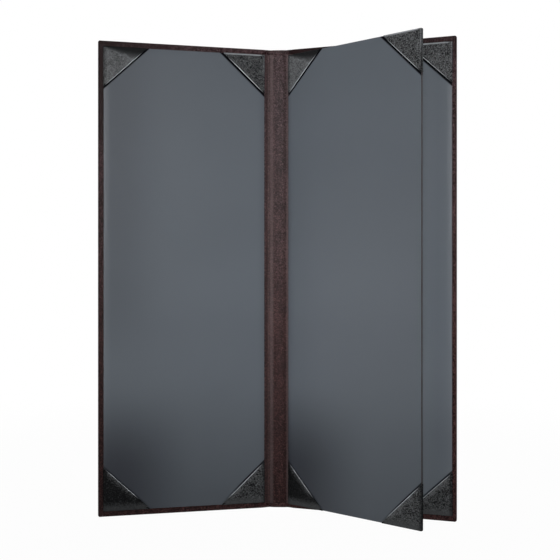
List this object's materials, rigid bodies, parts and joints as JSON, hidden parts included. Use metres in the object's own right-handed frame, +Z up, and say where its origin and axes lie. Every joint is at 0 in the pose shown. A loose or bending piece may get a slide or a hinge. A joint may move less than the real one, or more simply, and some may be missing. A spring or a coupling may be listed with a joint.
{
  "type": "menu cover",
  "caption": "Tall slim menu cover in brown leatherette with a two-sided middle leaf and black corner pockets that hold menu sheets.",
  "frame": {"origin": "on the floor, under the middle of the spine board", "axes": "+Z up along the spine, +X to the reader's right along the spine's width, +Y away from the reader, out of the back of the spine"},
  "size_m": [0.2322, 0.0768, 0.31],
  "materials": {
    "leatherette": "fine crackled grain, satin",
    "pocket_leatherette": "pebbled grain, satin",
    "grey_sheet": "smooth satin",
    "board": "pressed grey board"
  },
  "bodies": {
    "spine": {"spine_board": "board", "spine_skin": "leatherette", "spine_lining": "leatherette", "front_joint_skin": "leatherette", "front_joint_lining": "leatherette", "back_joint_skin": "leatherette", "back_joint_lining": "leatherette"},
    "front_cover": {"front_cover_board": "board", "front_cover_skin": "leatherette", "front_lining_wing": "leatherette", "front_panel_board": "board", "front_panel_sheet": "grey_sheet", "front_panel_pocket_inner_top": "pocket_leatherette", "front_panel_pocket_inner_bottom": "pocket_leatherette", "front_panel_pocket_outer_top": "pocket_leatherette", "front_panel_pocket_outer_bottom": "pocket_leatherette"},
    "back_cover": {"back_cover_board": "board", "back_cover_skin": "leatherette", "back_lining_wing": "leatherette", "back_panel_board": "board", "back_panel_sheet": "grey_sheet", "back_panel_pocket_inner_top": "pocket_leatherette", "back_panel_pocket_inner_bottom": "pocket_leatherette", "back_panel_pocket_outer_top": "pocket_leatherette", "back_panel_pocket_outer_bottom": "pocket_leatherette"},
    "leaf": {"leaf_hinge_strip": "leatherette", "leaf_front_panel_board": "board", "leaf_front_panel_sheet": "grey_sheet", "leaf_front_panel_pocket_inner_top": "pocket_leatherette", "leaf_front_panel_pocket_inner_bottom": "pocket_leatherette", "leaf_front_panel_pocket_outer_top": "pocket_leatherette", "leaf_front_panel_pocket_outer_bottom": "pocket_leatherette", "leaf_back_panel_board": "board", "leaf_back_panel_sheet": "grey_sheet", "leaf_back_panel_pocket_inner_top": "pocket_leatherette", "leaf_back_panel_pocket_inner_bottom": "pocket_leatherette", "leaf_back_panel_pocket_outer_top": "pocket_leatherette", "leaf_back_panel_pocket_outer_bottom": "pocket_leatherette"}
  },
  "joints": [
    {"name": "front_cover_hinge", "type": "hinge", "parent": "spine", "child": "front_cover", "pos_m": [-0.0058, 0.001, 0], "axis": [0, 0, 1], "range_deg": [-16.5, 73.5], "deforming": ["front_joint_skin", "front_joint_lining"]},
    {"name": "back_cover_hinge", "type": "hinge", "parent": "spine", "child": "back_cover", "pos_m": [0.0058, 0.001, 0], "axis": [0, 0, -1], "range_deg": [-17.5, 72.5], "deforming": ["back_joint_skin", "back_joint_lining"]},
    {"name": "leaf_hinge", "type": "hinge", "parent": "back_cover", "child": "leaf", "pos_m": [0.00692, -0.00543, 0], "axis": [0, 0, -1], "range_deg": [-22.11, 5], "deforming": ["leaf_hinge_strip"]}
  ],
  "couplings": [
    {"joint": "leaf_hinge", "follows": "front_cover_hinge", "ratio": -0.30068}
  ]
}
